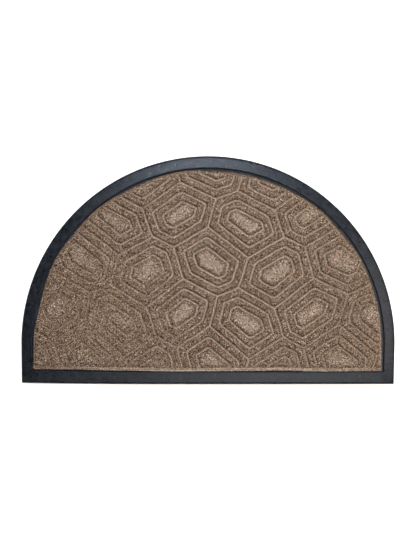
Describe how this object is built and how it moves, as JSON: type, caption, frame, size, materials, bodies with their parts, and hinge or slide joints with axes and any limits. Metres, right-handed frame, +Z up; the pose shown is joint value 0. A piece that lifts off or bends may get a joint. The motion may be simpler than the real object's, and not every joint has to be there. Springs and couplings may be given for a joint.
{
  "type": "half round doormat",
  "caption": "Half round doormat: a bevelled moulded rubber tray with a brown embossed carpet insert in a net of nested hexagons.",
  "frame": {"origin": "on the floor under the middle of the mat's width and depth", "axes": "+X along the straight edge to the right, +Y from the straight edge towards the round one, +Z up"},
  "size_m": [0.75, 0.4582, 0.0082],
  "materials": {
    "moulded_rubber": "satin blue-black moulded rubber with a fine grain",
    "carpet_pile": "matt heather brown needle-punched fibre, lighter where it is pressed flat"
  },
  "bodies": {
    "root": {"rubber_base": "moulded_rubber", "pile_carpet": "carpet_pile"}
  },
  "joints": []
}
